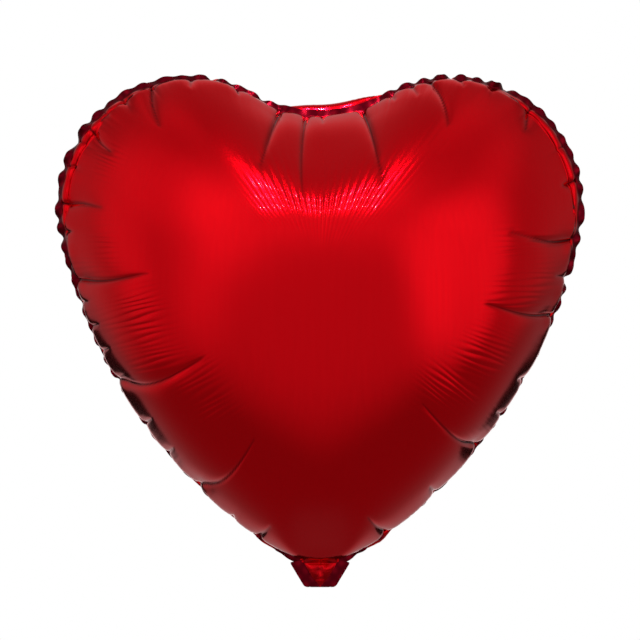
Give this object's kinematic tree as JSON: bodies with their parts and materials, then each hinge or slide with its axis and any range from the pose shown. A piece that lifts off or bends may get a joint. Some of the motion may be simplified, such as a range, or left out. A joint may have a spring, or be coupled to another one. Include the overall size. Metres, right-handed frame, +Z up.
{
  "type": "heart-shaped foil balloon",
  "caption": "Inflated heart-shaped balloon of shiny metallised film, with a welded rim, puckered edges, a flat inner valve and a short tail that folds at the neck.",
  "frame": {"origin": "middle of the neck on the fold line, where the tail leaves the body and a ribbon is tied", "axes": "+Z up from the neck to the notch, +X to the viewer's right, the front panel faces -Y"},
  "size_m": [0.3958, 0.1788, 0.383],
  "materials": {
    "foil_film": "mirror-bright metallised nylon film with a red lacquer",
    "weld": "heat-welded film, slightly duller than the panels",
    "valve_film": "clear thin polyethylene film",
    "release_ink": "matt heat-resistant ink"
  },
  "bodies": {
    "envelope": {"front_panel": "foil_film", "back_panel": "foil_film", "perimeter_weld": "weld", "valve_front_film": "valve_film", "valve_back_film": "valve_film", "valve_left_seal": "valve_film", "valve_right_seal": "valve_film", "valve_release_patch": "release_ink"},
    "tail": {"tail_front_ply": "foil_film", "tail_back_ply": "foil_film", "tail_left_weld": "weld", "tail_right_weld": "weld", "tail_valve_front_film": "valve_film", "tail_valve_back_film": "valve_film", "tail_valve_left_seal": "valve_film", "tail_valve_right_seal": "valve_film"}
  },
  "joints": [
    {"name": "tail_fold", "type": "hinge", "parent": "envelope", "child": "tail", "pos_m": [0, 0, 0], "axis": [1, 0, 0], "range_deg": [-80, 80]}
  ]
}
